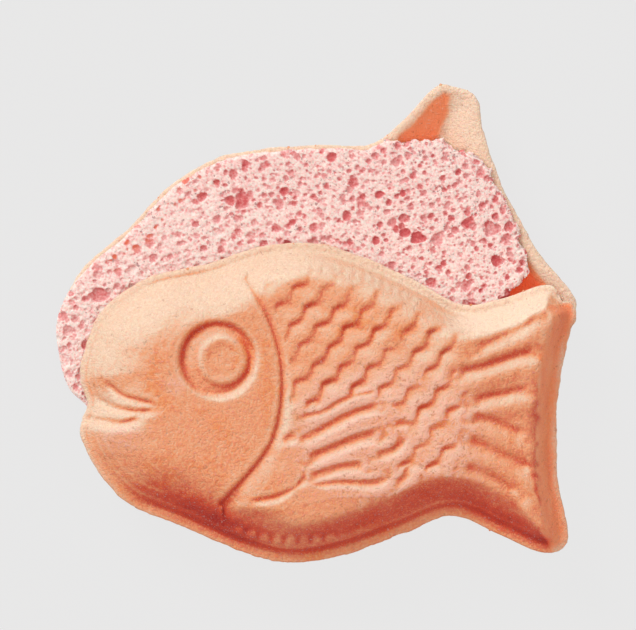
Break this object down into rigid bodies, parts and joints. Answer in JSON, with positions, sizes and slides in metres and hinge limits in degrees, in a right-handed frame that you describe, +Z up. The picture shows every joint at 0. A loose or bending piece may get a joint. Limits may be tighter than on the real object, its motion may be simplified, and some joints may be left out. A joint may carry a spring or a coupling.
{
  "type": "taiyaki",
  "caption": "Fish-shaped crisp wafer sandwich lying opened: a relief front shell swivelled over a back shell full of pale pink aerated filling.",
  "frame": {"origin": "bottom centre of the box round the whole, on the surface that it lies on", "axes": "+Z up, +X towards the tails, +Y towards the side where the filling shows"},
  "size_m": [0.1158, 0.1062, 0.0215],
  "materials": {
    "wafer": "matt baked wafer, golden orange, with a faint grain and fine dark pores",
    "filling": "matt open-celled aerated chocolate, pale pink with deeper pink bubbles"
  },
  "bodies": {
    "root": {"back_shell": "wafer", "back_filling": "filling", "front_shell": "wafer", "front_filling": "filling"}
  },
  "joints": []
}
